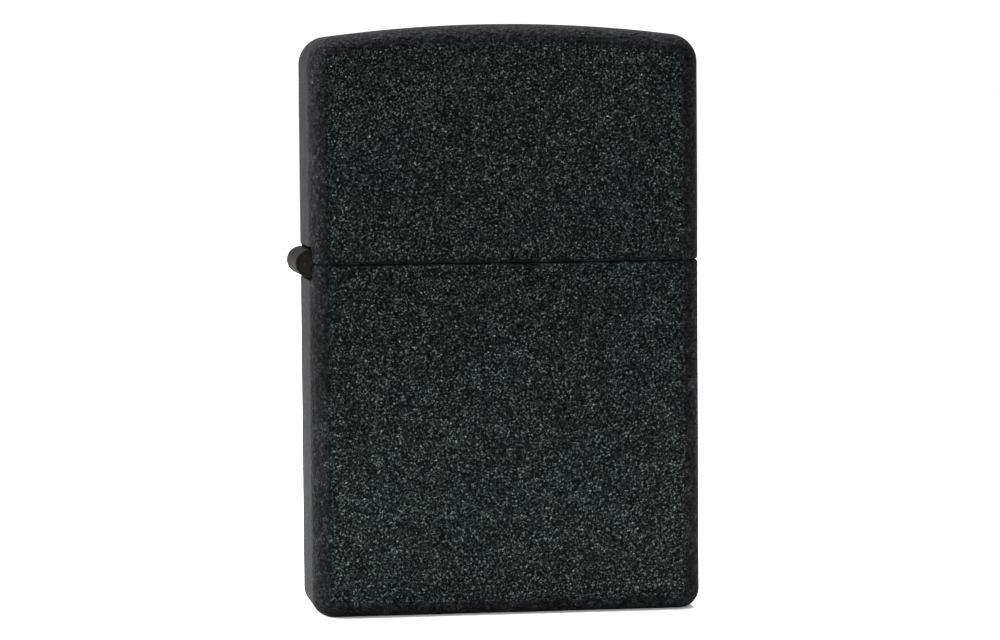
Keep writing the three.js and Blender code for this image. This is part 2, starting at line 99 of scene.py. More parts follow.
def finish_mesh(name, verts, faces, materials, body, replaced, sharp=SHARP, face_slots=None):
    """A closed mesh as a named piece that rides on a body and stands for CAD nodes."""
    mesh = bpy.data.meshes.new(name)
    mesh.from_pydata([(x * MM + CENTRE, y * MM, z * MM) for x, y, z in verts], [], faces)
    mesh.validate()
    obj = bpy.data.objects.new(name, mesh)
    bpy.context.scene.collection.objects.link(obj)
    for m in materials:
        mesh.materials.append(m)
    if face_slots:
        for polygon, index in zip(mesh.polygons, face_slots):
            polygon.material_index = index
    smooth(obj, sharp)
    if body:
        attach(obj, body)
        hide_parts(*replaced)
    return obj


def smooth(obj, sharp):
    """Shades obj smooth, but for edges that turn by more than sharp degrees."""
    mesh = obj.data
    mesh.polygons.foreach_set("use_smooth", [True] * len(mesh.polygons))
    mesh.set_sharp_from_angle(angle=math.radians(sharp))


def bake_modifiers(obj):
    """The object's mesh becomes what its modifiers make of it."""
    graph = bpy.context.evaluated_depsgraph_get()
    made = bpy.data.meshes.new_from_object(obj.evaluated_get(graph), depsgraph=graph)
    obj.modifiers.clear()
    obj.data = made


def carve(obj, cutter):
    """Cuts cutter out of obj, and deletes it."""
    modifier = obj.modifiers.new("carve", "BOOLEAN")
    modifier.operation = "DIFFERENCE"
    modifier.solver = "EXACT"
    modifier.object = cutter
    bake_modifiers(obj)
    bpy.data.objects.remove(cutter)
    smooth(obj, SHARP)


def ease(obj, width):
    """Rounds obj's sharp edges."""
    modifier = obj.modifiers.new("ease", "BEVEL")
    modifier.width = width * MM
    modifier.segments = 3
    modifier.limit_method = "ANGLE"
    modifier.angle_limit = math.radians(50)
    modifier.use_clamp_overlap = True
    bake_modifiers(obj)
    smooth(obj, SHARP)


def prism(outline, low, high, axis):
    """Vertices and faces of an outline run along X, with its points as (y, z), or along Y, as (x, z)."""
    n = len(outline)
    verts = []
    for level in (low, high):
        verts += [(level, a, b) if axis == "X" else (a, level, b) for a, b in outline]
    faces = [(i, (i + 1) % n, n + (i + 1) % n, n + i) for i in range(n)]
    faces += [tuple(reversed(range(n))), tuple(range(n, 2 * n))]
    return verts, faces


def merge(*solids):
    """The vertices and faces of several solids as those of one mesh."""
    verts, faces = [], []
    for v, f in solids:
        faces += [tuple(i + len(verts) for i in face) for face in f]
        verts += v
    return verts, faces


def outward(verts, faces):
    """The faces turned so that each closed shell faces out."""
    work = bmesh.new()
    made = [work.verts.new(v) for v in verts]
    for face in faces:
        work.faces.new([made[i] for i in face])
    bmesh.ops.recalc_face_normals(work, faces=work.faces)
    work.verts.index_update()
    turned = [tuple(v.index for v in f.verts) for f in work.faces]
    work.free()
    return verts, turned


def lathe(profile, centre, axis):
    """Vertices and faces of a profile of (radius, height) turned about Y or Z. Radius 0 closes an end."""
    cx, cy, cz = centre
    segments = 48
    place = {
        "Y": lambda r, a, h: (cx + r * math.cos(a), cy + h, cz + r * math.sin(a)),
        "Z": lambda r, a, h: (cx + r * math.cos(a), cy + r * math.sin(a), cz + h),
    }[axis]
    closed = profile[0][0] > 0
    rows, verts, faces = [], [], []
    for radius, height in profile:
        if radius == 0:
            rows.append([len(verts)] * segments)
            verts.append(place(0, 0, height))
        else:
            rows.append([len(verts) + i for i in range(segments)])
            verts += [place(radius, TAU * i / segments, height) for i in range(segments)]
    pairs = list(zip(rows, rows[1:])) + ([(rows[-1], rows[0])] if closed else [])
    for a, b in pairs:
        for i in range(segments):
            j = (i + 1) % segments
            face = list(dict.fromkeys((a[i], a[j], b[j], b[i])))
            if len(face) > 2:
                faces.append(tuple(face))
    return outward(verts, faces)


def strip(path, thickness):
    """The outline of a strip of even thickness along a path in a plane."""
    sides = ([], [])
    for i, point in enumerate(path):
        before, after = path[max(i - 1, 0)], path[min(i + 1, len(path) - 1)]
        dx, dz = after[0] - before[0], after[1] - before[1]
        length = math.hypot(dx, dz)
        for side, out in zip(sides, (thickness / 2, -thickness / 2)):
            side.append((point[0] - out * dz / length, point[1] + out * dx / length))
    return sides[0] + sides[1][::-1]


def arc(cx, cz, radius, start, stop, steps):
    """Points on a circle between two angles in degrees."""
    return [
        (cx + radius * math.cos(math.radians(a)), cz + radius * math.sin(math.radians(a)))
        for a in (start + (stop - start) * i / steps for i in range(steps + 1))
    ]


# Materials


class Shader:
    """A material with a Principled shader, and short calls for the nodes that feed it."""

    def __init__(self, name, **fixed):
        self.material = bpy.data.materials.new(name)
        self.material.use_nodes = True
        self.tree = self.material.node_tree
        self.tree.nodes.clear()
        self.shader = self.tree.nodes.new("ShaderNodeBsdfPrincipled")
        output = self.tree.nodes.new("ShaderNodeOutputMaterial")
        self.link(self.shader.outputs["BSDF"], output.inputs["Surface"])
        for key, value in fixed.items():
            self.shader.inputs[key.replace("_", " ")].default_value = value
        self.place = self.tree.nodes.new("ShaderNodeTexCoord").outputs["Object"]

    def link(self, a, b):
        self.tree.links.new(a, b)

    def feed(self, socket, value):
        """Links value to socket if it is a socket too, and sets it as a constant if not."""
        if isinstance(value, bpy.types.NodeSocket):
            self.link(value, socket)
        else:
            socket.default_value = value

    def stretch(self, scale):
        """The place on the object, scaled along each axis."""
        node = self.tree.nodes.new("ShaderNodeMapping")
        self.link(self.place, node.inputs["Vector"])
        node.inputs["Scale"].default_value = scale
        return node.outputs["Vector"]

    def noise(self, size, detail=4, rough=0.55, vector=None, distortion=0):
        """Noise whose features are about size millimetres across."""
        node = self.tree.nodes.new("ShaderNodeTexNoise")
        self.link(vector or self.place, node.inputs["Vector"])
        node.inputs["Scale"].default_value = 1 / (size * MM)
        node.inputs["Detail"].default_value = detail
        node.inputs["Roughness"].default_value = rough
        node.inputs["Distortion"].default_value = distortion
        return node.outputs["Fac"]

    def cells(self, size, feature="F1", output="Distance"):
        """Cells about size millimetres across."""
        node = self.tree.nodes.new("ShaderNodeTexVoronoi")
        node.feature = feature
        self.link(self.place, node.inputs["Vector"])
        node.inputs["Scale"].default_value = 1 / (size * MM)
        return node.outputs[output]

    def ramp(self, value, stops):
        """The colour at value among stops of (value, colour). A colour is a tuple or one grey."""
        node = self.tree.nodes.new("ShaderNodeValToRGB")
        self.link(value, node.inputs["Fac"])
        elements = node.color_ramp.elements
        while len(elements) < len(stops):
            elements.new(0.5)
        for element, (position, colour) in zip(elements, stops):
            element.position = position
            element.color = (*colour, 1) if isinstance(colour, tuple) else (colour, colour, colour, 1)
        return node.outputs["Color"]

    def maths(self, operation, a, b=0.0, c=0.0):
        node = self.tree.nodes.new("ShaderNodeMath")
        node.operation = operation
        for socket, value in zip(node.inputs, (a, b, c)):
            self.feed(socket, value)
        return node.outputs["Value"]

    def channel(self, colour):
        """One channel of a colour."""
        node = self.tree.nodes.new("ShaderNodeSeparateColor")
        self.link(colour, node.inputs["Color"])
        return node.outputs["Red"]

    def grey(self, value):
        """A grey whose channels are all value."""
        node = self.tree.nodes.new("ShaderNodeCombineColor")
        for socket in node.inputs:
            self.link(value, socket)
        return node.outputs["Color"]

    def mix(self, factor, a, b, mode="MIX"):
        """The colours a and b blended. a and b are sockets or tuples."""
        node = self.tree.nodes.new("ShaderNodeMix")
        node.data_type = "RGBA"
        node.blend_type = mode
        self.feed(node.inputs["Factor"], factor)
        for socket, value in zip((node.inputs[6], node.inputs[7]), (a, b)):
            self.feed(socket, value if isinstance(value, bpy.types.NodeSocket) else (*value, 1))
        return node.outputs[2]

    def spread(self, value, low, high):
        """A value from 0 to 1, taken to low to high."""
        return self.maths("MULTIPLY_ADD", value, high - low, low)

    def facing_y(self):
        """1 on the front and back faces, 0 round the rolled edges and on the sides."""
        parts = self.tree.nodes.new("ShaderNodeSeparateXYZ")
        facing = self.tree.nodes.new("ShaderNodeTexCoord").outputs["Normal"]
        self.link(facing, parts.inputs["Vector"])
        return self.smoothstep(self.maths("ABSOLUTE", parts.outputs["Y"]), 0.93, 0.985)

    def smoothstep(self, value, low, high):
        """0 below low, 1 above high, and a smooth rise between them."""
        node = self.tree.nodes.new("ShaderNodeMapRange")
        node.interpolation_type = "SMOOTHSTEP"
        self.link(value, node.inputs["Value"])
        node.inputs["From Min"].default_value = low
        node.inputs["From Max"].default_value = high
        return node.outputs["Result"]

    def bump(self, height, depth, under=None):
        """Relief of depth millimetres, on top of the relief under."""
        node = self.tree.nodes.new("ShaderNodeBump")
        node.inputs["Distance"].default_value = depth * MM
        self.link(height, node.inputs["Height"])
        if under is not None:
            self.link(under, node.inputs["Normal"])
        return node.outputs["Normal"]

    def set(self, **sockets):
        """Feeds the shader's sockets, and returns the material."""
        for key, value in sockets.items():
            self.feed(self.shader.inputs[key.replace("_", " ")], value)
        return self.material


def crackle_coat(name, rim=None):
    """A coat of dark grains whose brightness spreads evenly on a log scale, with painted glints: the grains
    stand out most on the front and back faces. Edges and sides are lumpier.

    rim is the height in metres of an upper edge, lightened in places in a thin line just under it: a
    painted highlight where the rim's rounding would catch light from above.
    """
    s = Shader(name, Specular_IOR_Level=0.02)
    grain = s.noise(0.17, detail=2.5, rough=0.65)
    cell = s.channel(s.cells(0.14, output="Color"))
    cloud = s.noise(1.6, detail=3)
    drift = s.noise(9, detail=2)
    coarse = s.noise(0.55, detail=3, rough=0.6)
    flat = s.facing_y()
    # Painted glints: where flat is 1, on the front and back faces, the grains keep their full contrast, as
    # if the front lamp caught them; round the edges and on the sides the contrast drops.
    stray = s.maths("ADD", s.spread(grain, -5.5, 5.5), s.spread(cell, -1.6, 1.6))
    stray = s.maths("MULTIPLY", stray, s.spread(flat, 0.6, 1.0))
    stray = s.maths("ADD", stray, s.spread(cloud, -0.6, 0.6))
    lumpy = s.maths("ADD", s.spread(coarse, -1.5, 1.5), s.spread(cloud, -0.9, 0.9))
    lumpy = s.maths("MULTIPLY", lumpy, s.spread(flat, 1.0, 0.0))
    stray = s.maths("ADD", stray, lumpy)
    if rim is not None:
        # Painted highlight: a thin lighter line just under the rim, broken up by noise.
        height = s.tree.nodes.new("ShaderNodeSeparateXYZ")
        s.link(s.place, height.inputs["Vector"])
        depth = s.maths("SUBTRACT", rim, height.outputs["Z"])
        below_rim = s.smoothstep(depth, 0.02 * MM, 0.12 * MM)
        past_line = s.smoothstep(depth, 0.2 * MM, 0.4 * MM)
        rim_highlight = s.maths("MULTIPLY", below_rim, s.spread(past_line, 1, 0))
        broken = s.smoothstep(s.noise(1.3, detail=3), 0.38, 0.62)
        stray = s.maths("ADD", stray, s.maths("MULTIPLY", rim_highlight, s.spread(broken, 0.0, 0.7)))
    level = s.maths("POWER", math.e, stray)
    speckle = s.maths("MULTIPLY", s.noise(0.35, detail=2), 0.75)
    hue = s.maths("ADD", speckle, s.maths("MULTIPLY", drift, 0.25))
    tint = s.mix(s.smoothstep(hue, 0.36, 0.64), (0.0025, 0.0034, 0.0037), (0.0034, 0.0038, 0.0033))
    # Painted light: the edges and sides take a cooler violet-grey tint in place of the grains' tint,
    # because light falls differently there.
    tint = s.mix(flat, (0.0029, 0.0030, 0.0034), tint)
    colour = s.mix(1.0, tint, s.grey(level), "MULTIPLY")
    lumps = s.cells(0.42, feature="SMOOTH_F1")
    pits = s.cells(0.22, feature="SMOOTH_F1")
    relief = s.bump(s.maths("MULTIPLY", lumps, s.spread(flat, 1.0, 0.35)), 0.1)
    relief = s.bump(s.maths("MULTIPLY", coarse, s.spread(flat, 1.0, 0.1)), 0.22, relief)
    relief = s.bump(s.maths("MULTIPLY", pits, s.spread(flat, 1.0, 0.4)), 0.06, relief)
    rough = s.maths("ADD", s.spread(grain, 0.6, 0.8), s.spread(flat, 0.0, 0.15))
    return s.set(Base_Color=colour, Roughness=rough, Normal=relief)


def worn_black():
    """The coat on the hinge, rubbed to a soft sheen, with scuffs."""
    s = Shader("worn_black", Specular_IOR_Level=0.01)
    cloud = s.noise(1.1, detail=5)
    fine = s.noise(0.12, detail=3)
    lumps = s.cells(0.4, feature="SMOOTH_F1")
    scuff = s.smoothstep(s.noise(0.5, detail=4, rough=0.65), 0.56, 0.7)
    colour = s.ramp(cloud, [(0.3, (0.0018, 0.0017, 0.0016)), (0.7, (0.0065, 0.006, 0.0055))])
    colour = s.mix(scuff, colour, (0.024, 0.0235, 0.024))
    relief = s.bump(fine, 0.04, s.bump(lumps, 0.09))
    return s.set(Base_Color=colour, Roughness=s.spread(fine, 0.5, 0.75), Normal=relief)


def brushed(name, light, dark, direction, rough=(0.2, 0.38), metallic=1.0):
    """Metal with fine brushing across direction's short axes and a slow tarnish."""
    s = Shader(name, Metallic=metallic)
    lines = s.noise(1.0, detail=6, rough=0.7, vector=s.stretch(direction))
    cloud = s.noise(6, detail=4)
    spots = s.noise(0.25, detail=2)
    tone = s.maths("ADD", s.maths("MULTIPLY", lines, 0.6), s.maths("MULTIPLY", cloud, 0.4))
    colour = s.ramp(tone, [(0.3, dark), (0.7, light)])
    gloss = s.maths("ADD", s.spread(lines, *rough), s.maths("MULTIPLY", spots, 0.08))
    return s.set(Base_Color=colour, Roughness=gloss, Normal=s.bump(lines, 0.012))


def fibres(name, light, dark, size):
    """Matt tangled fibre with lumps of about size millimetres."""
    s = Shader(name, Specular_IOR_Level=0.1, Sheen_Weight=0.4)
    tangle = s.noise(size, detail=6, rough=0.75, distortion=1.5)
    cloud = s.noise(size * 8, detail=3)
    tone = s.maths("ADD", s.maths("MULTIPLY", tangle, 0.7), s.maths("MULTIPLY", cloud, 0.3))
    colour = s.ramp(tone, [(0.3, dark), (0.65, light)])
    return s.set(Base_Color=colour, Roughness=s.spread(tangle, 0.8, 1.0), Normal=s.bump(tangle, size * 0.4))


CUP_COAT = crackle_coat("cup_coat", rim=cup_high.z * MM)
LID_COAT = crackle_coat("lid_coat")
BLACK = worn_black()
SHELL_INSIDE = brushed("bare_brass_inside", (0.74, 0.56, 0.27), (0.52, 0.37, 0.16), (1, 1, 9), (0.25, 0.45))
STEEL = brushed("brushed_steel", (0.15, 0.15, 0.148), (0.08, 0.08, 0.082), (1, 1, 12), (0.26, 0.4))
STEEL_FLAT = brushed(
    "brushed_steel_flat", (0.14, 0.14, 0.138), (0.075, 0.075, 0.077), (1, 12, 1), (0.28, 0.42)
)
HARD_STEEL = brushed("hard_steel", (0.12, 0.118, 0.115), (0.05, 0.049, 0.048), (4, 4, 4), (0.3, 0.5))
BRASS = brushed("turned_brass", (0.5, 0.36, 0.16), (0.34, 0.23, 0.09), (1, 1, 14))
FERRO = brushed("ferrocerium_rod", (0.16, 0.15, 0.14), (0.07, 0.065, 0.06), (2, 2, 5), (0.45, 0.7), 0.7)
WICK = fibres("wick_yarn", (0.82, 0.79, 0.71), (0.5, 0.46, 0.38), 0.12)
RAYON = fibres("rayon_fluff", (0.9, 0.89, 0.86), (0.66, 0.65, 0.62), 0.3)
FELT = fibres("pressed_felt", (0.72, 0.7, 0.66), (0.42, 0.4, 0.37), 0.2)

# Shells

CORNER_STEPS, SIDE_STEPS = 14, 36


def ring(half_x, half_y, radius, height, cx=0.0):
    """A rounded rectangle. Point k and point n-1-k mirror each other in y."""
    r = max(radius, 0.03)
    half = []
    for sx, start in ((1, 0), (-1, 90)):
        for i in range(CORNER_STEPS + 1):
            a = math.radians(start + 90 * i / CORNER_STEPS)
            half.append((sx * (half_x - r) + r * math.cos(a), half_y - r + r * math.sin(a)))
        if sx > 0:
            half += [((half_x - r) * (1 - 2 * i / SIDE_STEPS), half_y) for i in range(1, SIDE_STEPS)]
    whole = half + [(x, -y) for x, y in reversed(half)]
    return [(x + cx, y, height(x)) for x, y in whole]


def loft(rings):
    """Vertices and faces of a solid through rings of as many points each, with both ends closed."""
    n = len(rings[0])
    verts = [p for r in rings for p in r]
    faces = []
    for i in range(len(rings) - 1):
        for k in range(n):
            j = (k + 1) % n
            faces.append((i * n + k, i * n + j, (i + 1) * n + j, (i + 1) * n + k))
    end = (len(rings) - 1) * n
    for k in range(n // 2 - 1):
        faces.append((k + 1, k, n - 1 - k, n - 2 - k))
        faces.append((end + k, end + k + 1, end + n - 2 - k, end + n - 1 - k))
    return verts, faces


def quarter(radius, steps):
    """Steps round a quarter-round edge, from the wall to the flat, as (inset, distance from the flat)."""
    return [
        (radius * (1 - math.cos(a)), radius * (1 - math.sin(a)))
        for a in (math.pi / 2 * i / steps for i in range(steps + 1))
    ]


def case_ring(inset, height):
    """A ring of the case's outline, moved in by inset, with its height as a function of x."""
    return ring(HALF_W - inset, HALF_D - inset, CORNER - inset, height)


SEAM = (cup_high.z + lid_low.z) / 2
RIM_GAP = 0.02  # the coat all but fills the seam
RIM_OUT, RIM_IN = 0.28, 0.12  # how far the coat rounds the edges of the two rims


def rim_rings(rim, up):
    """Round the rim from the outside of the wall to the inside. up is 1 on the cup and -1 on the lid."""
    rings = [case_ring(a, lambda x, b=b: rim - up * b) for a, b in quarter(RIM_OUT, 5)]
    rings += [case_ring(WALL - a, lambda x, b=b: rim - up * b) for a, b in reversed(quarter(RIM_IN, 3))]
    return rings


def window_cutter():
    """A round-cornered box through the wall where the hinge barrel lies."""
    corner = 0.35
    half_y, half_z = WINDOW_HALF - corner, WINDOW_REACH - corner
    outline = []
    for quadrant, (sy, sz) in enumerate(((1, 1), (-1, 1), (-1, -1), (1, -1))):
        start = 90 * quadrant
        outline += arc(sy * half_y, HINGE_Z + sz * half_z, corner, start, start + 90, 6)
    outside, inside = -HALF_W - 1, -HALF_W + WALL + 0.6
    verts, faces = outward(*prism(outline, outside, inside, "X"))
    return finish_mesh("window", verts, faces, [BLACK], None, ())


def shell(name, rings, outer_rings, coat, body, node):
    """A drawn shell. The rings before outer_rings are coated and the rest is bare."""
    verts, faces = loft(rings)
    n = len(rings[0])
    bare = [0 if f < outer_rings * n else 1 for f in range(len(faces))]
    caps = n // 2 - 1
    for k in range(caps):  # the two caps alternate at the end of the list
        bare[-2 * caps + 2 * k] = 0
        bare[-2 * caps + 2 * k + 1] = 1
    finishes = [coat, SHELL_INSIDE]
    obj = finish_mesh(name, verts, faces, finishes, body, (node,), face_slots=bare)
    carve(obj, window_cutter())


def make_cup():
    """The lower case: underside with its stamped panel, rolled edge, wall, rim, and the bare inside."""
    rim = SEAM - RIM_GAP / 2
    slope = 0.45  # how far the panel's edge runs in as it rises
    foot = FOOT_RADIUS + 1.2
    rings = [case_ring(foot + slope, lambda x: PANEL)]
    rings += [case_ring(foot + 0.1, lambda x: 0.04), case_ring(foot - 0.05, lambda x: 0.0)]
    rings += [case_ring(a, lambda x, b=b: b) for a, b in reversed(quarter(FOOT_RADIUS, 12))]
    rings += [case_ring(0, lambda x, z=z: z) for z in (12.0, 24.0)]
    rings += rim_rings(rim, 1)
    outer = len(rings) - 2
    rings += [case_ring(WALL + a, lambda x, b=b: WALL + b) for a, b in quarter(FOOT_RADIUS - WALL, 6)]
    rings += [case_ring(foot + slope, lambda x: WALL + PANEL)]
    shell("case_cup", rings, outer, CUP_COAT, "case", "case_bottom")


def make_lid():
    """The lid: arched top with its rolled edge, wall, rim, and the bare inside."""
    rim = SEAM + RIM_GAP / 2

    def arch(x):
        return TOP - ARCH * (x / HALF_W) ** 2

    rings = [case_ring(a, lambda x, b=b: arch(x) - b) for a, b in reversed(quarter(CROWN_RADIUS, 14))]
    rings += [case_ring(0, lambda x, z=z: z) for z in (46.0, 38.0)]
    rings += rim_rings(rim, -1)
    outer = len(rings) - 2
    inside = quarter(CROWN_RADIUS - WALL, 6)
    rings += [case_ring(WALL + a, lambda x, b=b: arch(x) - WALL - b) for a, b in inside]
    shell("lid_cap", rings, outer, LID_COAT, "lid_body", "lid")


# Hinge

KNUCKLES = 5
KNUCKLE_GAP = 0.12


def make_leaf(name, first, up, body, node):
    """A leaf of sheet whose tabs are rolled round the pin, from knuckle first on. up is 1 for the lid's."""
    low, high = span(node)
    pitch = (pin_high.y - pin_low.y + 2 * KNUCKLE_GAP) / KNUCKLES
    middle = HINGE_R - LEAF / 2
    wrap = 318  # degrees of sheet round the pin
    far = high.z if up > 0 else low.z
    clear = HINGE_Z + up * (HINGE_R + 0.05)  # where the flat plate starts, past the barrel
    roll = [(HINGE_X + middle, clear + up * 0.2), (HINGE_X + middle, HINGE_Z + up * 0.6)]
    roll += arc(HINGE_X, HINGE_Z, middle, 0, -up * wrap, 48)
    solids = []
    for i in range(first, KNUCKLES, 2):
        y0 = -KNUCKLES * pitch / 2 + i * pitch + KNUCKLE_GAP / 2
        solids.append(outward(*prism(strip(roll, LEAF), y0, y0 + pitch - KNUCKLE_GAP, "Y")))
    x0, x1 = HINGE_X + HINGE_R - LEAF, HINGE_X + HINGE_R
    z0, z1 = sorted((clear, far))
    plate = [(x0, z0), (x1, z0), (x1, z1), (x0, z1)]
    solids.append(outward(*prism(plate, -LEAF_HALF, LEAF_HALF, "Y")))
    verts, faces = merge(*solids)
    obj = finish_mesh(name, verts, faces, [BLACK], body, (node,))
    ease(obj, 0.19)


def make_pin():
    """A pin whose ends are peened over the outer knuckles, under the coat."""
    radius, head = (pin_high.x - pin_low.x) / 2, 1.0
    foot = (pin_high.y - pin_low.y) / 2 + 0.08  # where each head meets its knuckle
    dome = [(0, 0.17), (0.45, 0.16), (0.8, 0.12), (0.97, 0.05), (head, 0), (radius, 0)]
    profile = [(r, -foot - rise) for r, rise in dome]
    profile += [(r, foot + rise) for r, rise in reversed(dome)]
    verts, faces = lathe(profile, (HINGE_X, 0, HINGE_Z), "Y")
    finish_mesh("pin", verts, faces, [BLACK], "case", ("hinge_pin",), sharp=60)


make_cup()
make_lid()
make_leaf("leaf_case", 0, -1, "case", "hinge_leaf_case")
make_leaf("leaf_lid", 1, 1, "lid_body", "hinge_leaf_lid")
make_pin()

# Flint wheel


def make_wheel():
    """A steel wheel with a cross-cut file band round the middle and a straight-cut band at each side."""
    cx, cz = (wheel_low.x + wheel_high.x) / 2, (wheel_low.z + wheel_high.z) / 2
    radius, half = (wheel_high.z - wheel_low.z) / 2, wheel_high.y
    teeth, samples = 40, 6
    segments = teeth * samples
    hub, bore = 2.0, 1.05
    web = half - 0.3  # the wheel's sides, between hub and teeth
    file_half = 1.5
    ring_start = 1.85
    cut = 0.34  # depth of the teeth
    groove = radius - cut - 0.2  # radius of the groove beside the file band
    lean = 0.62  # how much of each tooth is its long flank
    slant = 0.75  # how far the file's teeth run round, in teeth per millimetre
    file_rows = 18

    def notch(turn):
        """0 on a tooth's crest and 1 in the cut before it."""
        t = turn % 1
        return t / lean if t < lean else (1 - t) / (1 - lean)

    def row(y, size, depth=0.0, filed=False):
        """A ring of points. A filed row is cut by slanted teeth and by shallower ones across them."""
        points = []
        for i in range(segments):
            turn = i / samples
            bite = notch(turn)
            if filed:
                bite = max(notch(turn + slant * y), 0.8 * notch(turn - slant * y + 0.3))
            r = size - depth * bite
            a = TAU * i / segments
            points.append((cx + r * math.cos(a), y, cz + r * math.sin(a)))
        return points

    side = [(half, bore, 0), (half, hub, 0), (web, hub + 0.12, 0), (web, radius - cut - 0.25, 0)]
    side += [(web - 0.12, radius, cut), (ring_start, radius, cut)]
    side += [(ring_start - 0.02, groove, 0), (file_half + 0.02, groove, 0)]
    rows = [row(-y, size, depth) for y, size, depth in side]
    for k in range(file_rows + 1):
        rows.append(row(-file_half + 2 * file_half * k / file_rows, radius, cut, filed=True))
    rows += [row(y, size, depth) for y, size, depth in reversed(side)]
    verts = [p for r in rows for p in r]
    faces = []
    for k in range(len(rows)):
        here, there = k * segments, ((k + 1) % len(rows)) * segments
        for i in range(segments):
            j = (i + 1) % segments
            faces.append((here + i, here + j, there + j, there + i))
    verts, faces = outward(verts, faces)
    finish_mesh(
        "file_cut_wheel", verts, faces, [HARD_STEEL], "wheel_body", ("flint_wheel",), sharp=28
    )


make_wheel()

# Wick and packing

WICK_LINE = [
    (0, 49.5), (0, 44), (0, 38.5), (0, 33.6), (-1.6, 30.4), (-2.6, 26.6),
    (-0.6, 23), (1.6, 19.4), (0.8, 15.4), (-1.6, 12), (-1.4, 8),
]
WICK_X = -2.5


def spline(before, start, end, after, t):
    """A point of a Catmull-Rom curve from start to end, with t from 0 to 1."""
    return tuple(
        0.5 * (2 * q + (r - p) * t + (2 * p - 5 * q + 4 * r - s) * t**2 + (3 * q - p - 3 * r + s) * t**3)
        for p, q, r, s in zip(before, start, end, after)
    )


def along(points, pieces):
    """A smooth line through points in the XZ plane, in even steps, and its length.

    Each step is (x, z, tangent x, tangent z).
    """
    ends = [tuple(2 * a - b for a, b in zip(points[0], points[1]))] + points
    ends += [tuple(2 * a - b for a, b in zip(points[-1], points[-2]))]
    samples = 24
    fine = []
    for a, b, c, d in zip(ends, ends[1:], ends[2:], ends[3:]):
        fine += [spline(a, b, c, d, k / samples) for k in range(samples)]
    fine.append(points[-1])
    walked = [0.0]
    for a, b in zip(fine, fine[1:]):
        walked.append(walked[-1] + math.dist(a, b))
    out, k = [], 0
    for i in range(pieces + 1):
        want = walked[-1] * i / pieces
        while k < len(fine) - 2 and walked[k + 1] < want:
            k += 1
        t = (want - walked[k]) / (walked[k + 1] - walked[k])
        (x, z), (next_x, next_z) = fine[k], fine[k + 1]
        dx, dz = next_x - x, next_z - z
        length = math.hypot(dx, dz)
        out.append((x + dx * t, z + dz * t, dx / length, dz / length))
    return out, walked[-1]


def tube(centres, frames, radius, sides=6):
    """A closed tube round centres, with its section in each frame's two directions."""
    verts = []
    for centre, (u, v) in zip(centres, frames):
        for k in range(sides):
            a = TAU * k / sides
            cos, sin = radius * math.cos(a), radius * math.sin(a)
            verts.append(tuple(c + cos * p + sin * q for c, p, q in zip(centre, u, v)))
    faces = []
    for i in range(len(centres) - 1):
        for k in range(sides):
            j = (k + 1) % sides
            faces.append((i * sides + k, i * sides + j, (i + 1) * sides + j, (i + 1) * sides + k))
    last = (len(centres) - 1) * sides
    faces += [tuple(reversed(range(sides))), tuple(range(last, last + sides))]
    return outward(verts, faces)


def make_wick():
    """A braid of eight yarns over a core, four wound each way, passing over and under each other."""
    steps = 190
    line, length = along([(WICK_X + x, z) for x, z in WICK_LINE], steps)
    frames = [((tz, 0, -tx), (0, 1, 0)) for _, _, tx, tz in line]
    yarn, core = 0.25, 0.66  # radii
    middle, sway = 0.83, 0.13  # the yarns' distance from the line, and how far it swings
    pitch, ways = 4.6, 4
    frayed, fray_reach = 5, 0.12  # the steps at the top that are frayed, and how far
    solids = []
    for turn in (1, -1):
        for strand in range(ways):
            centres = []
            for i, ((x, z, _, _), (u, _)) in enumerate(zip(line, frames)):
                a = turn * (TAU * i / steps * length / pitch) + TAU * strand / ways
                stray = noise.noise(Vector((strand, turn, i * 0.3)))
                fray = fray_reach * max(0, 1 - i / frayed) * stray
                r = middle + turn * sway * math.cos(ways * a) + fray
                out = r * math.cos(a)
                centres.append((x + out * u[0], r * math.sin(a), z + out * u[2]))
            solids.append(tube(centres, frames, yarn))
    solids.append(tube([(x, 0, z) for x, z, _, _ in line], frames, core, 10))
    verts, faces = merge(*solids)
    finish_mesh("braided_wick", verts, faces, [WICK], "case", ("wick",), sharp=80)


def make_ball(index):
    """A wad of pressed rayon: a creased soft lump wound about with loose fibres."""
    node = f"rayon_ball_{index}"
    low, high = span(node)
    centre, halves = (low + high) / 2, (high - low) / 2
    seed = Vector((index * 7.3, 1.7, -index * 3.1))

    def surface(direction):
        """A point of the lump in a direction from its middle."""
        rough = noise.fractal(direction * 2.2 + seed, 0.9, 2.1, 5)
        crease = 1 - abs(noise.noise(direction * 3.1 - seed))
        reach = 0.93 + 0.05 * rough - 0.05 * crease ** 8
        return centre + Vector(c * h for c, h in zip(direction, halves)) * min(reach, 0.985)

    work = bmesh.new()
    bmesh.ops.create_icosphere(work, subdivisions=5, radius=1)
    verts = [tuple(surface(v.co.normalized())) for v in work.verts]
    faces = [tuple(v.index for v in f.verts) for f in work.faces]
    work.free()
    solids = [outward(verts, faces)]
    hairs, steps, hair = 46, 14, 0.045
    for _ in range(hairs):
        axis = Vector((random.gauss(0, 1), random.gauss(0, 1), random.gauss(0, 1))).normalized()
        side = axis.orthogonal().normalized()
        start, sweep = random.uniform(0, TAU), random.uniform(0.6, 1.7)
        centres, frames = [], []
        for k in range(steps + 1):
            turn = Matrix.Rotation(start + sweep * k / steps, 3, axis)
            way = (turn @ side + axis * (0.35 * math.sin(k / 3.5 + start))).normalized()
            lift = 1.0 + 0.012 * math.sin(math.pi * k / steps)
            centres.append(tuple(centre + (surface(way) - centre) * lift))
            frames.append((tuple(way), tuple(axis.cross(way).cross(way).normalized())))
        solids.append(tube(centres, frames, hair, 4))
    verts, faces = merge(*solids)
    ball = finish_mesh(f"rayon_wad_{index}", verts, faces, [RAYON], "case", (node,), sharp=80)


